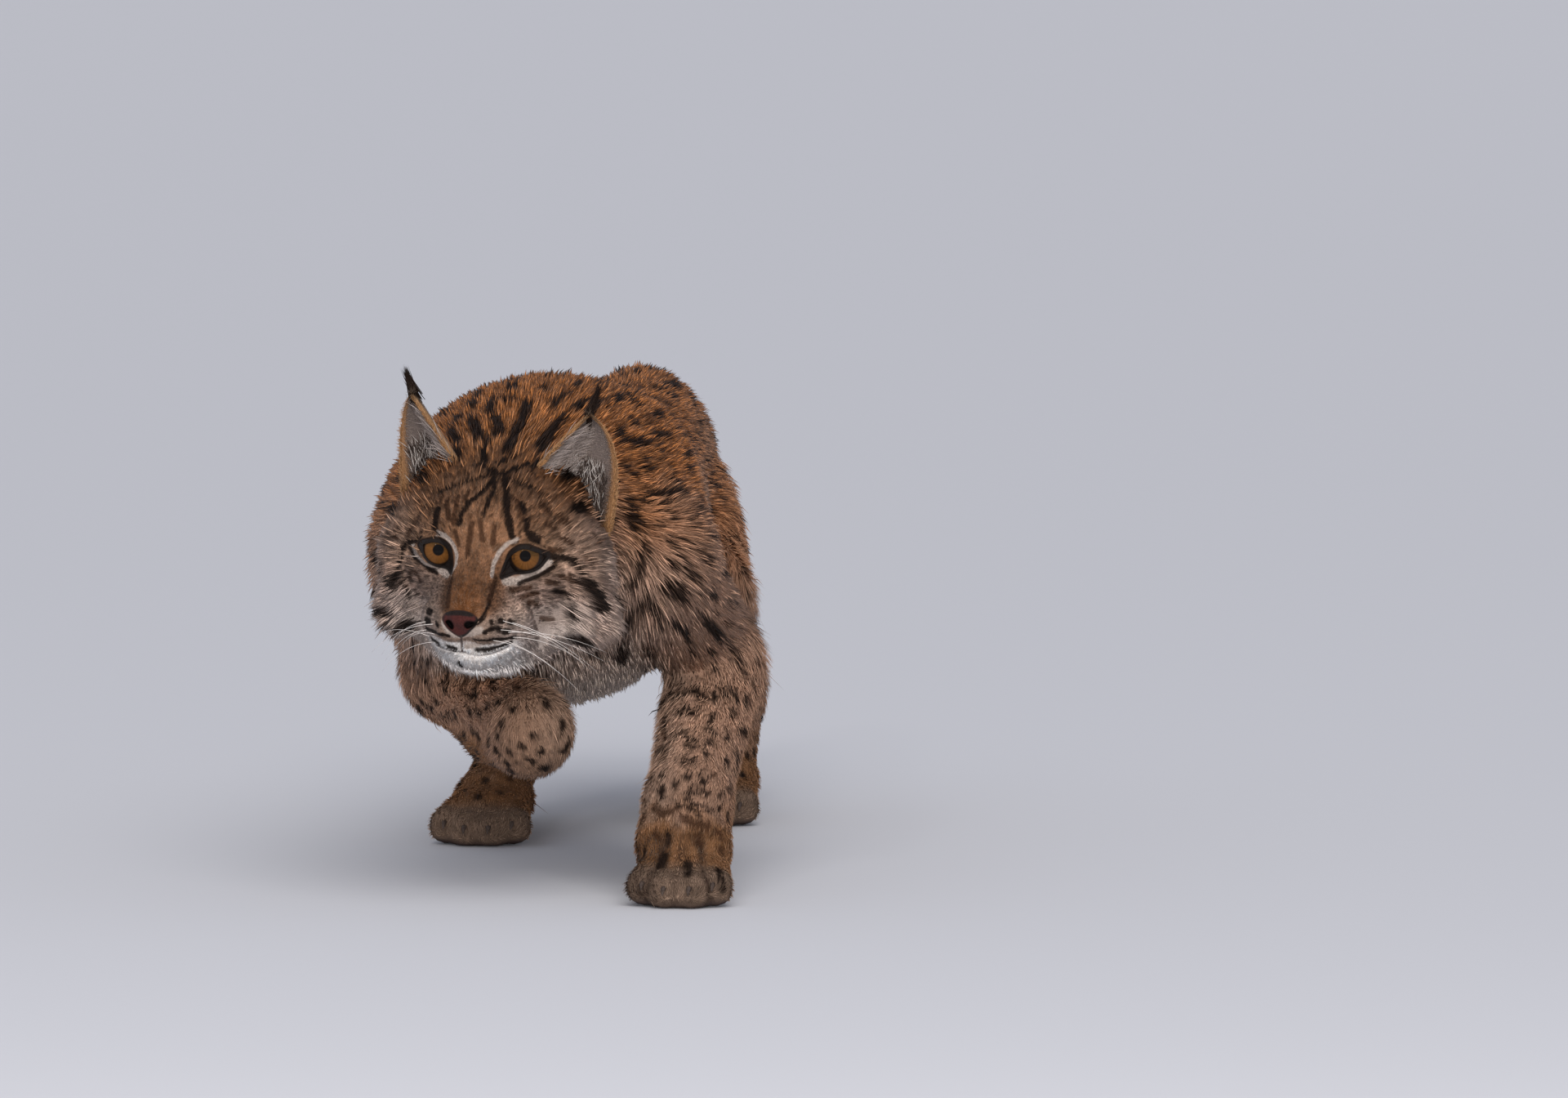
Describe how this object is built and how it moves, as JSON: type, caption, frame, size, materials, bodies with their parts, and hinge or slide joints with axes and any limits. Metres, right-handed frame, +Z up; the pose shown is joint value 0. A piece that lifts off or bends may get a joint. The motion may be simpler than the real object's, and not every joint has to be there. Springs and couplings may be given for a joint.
{
  "type": "eurasian lynx",
  "caption": "still, life-size Eurasian lynx in spotted winter coat, creeping low with one forepaw planted and the other lifted inward under the chin",
  "frame": {"origin": "the middle of the footprint's box, on the floor", "axes": "+X is the animal's left, -Y is the way it faces, +Z is up"},
  "size_m": [0.2662, 0.9818, 0.3678],
  "materials": {
    "coat": "soft fur, greyish pink-brown with black spots, rufous along the back",
    "face": "short soft fur with dark stripes and a white chin",
    "ear": "short fur, pale inside, black at the tip",
    "paw": "short dense fur, orange-brown",
    "tail": "dense fur with a black tip",
    "eye": "wet, glossy, amber-olive iris"
  },
  "bodies": {
    "root": {"head": "face", "ear_left": "ear", "ear_right": "ear", "eye_left": "eye", "eye_right": "eye", "neck": "coat", "trunk": "coat", "tail": "tail", "foreleg_left": "coat", "forepaw_left": "paw", "foreleg_right": "coat", "forepaw_right": "paw", "hindleg_left": "coat", "hindpaw_left": "paw", "hindleg_right": "coat", "hindpaw_right": "paw"}
  },
  "joints": []
}
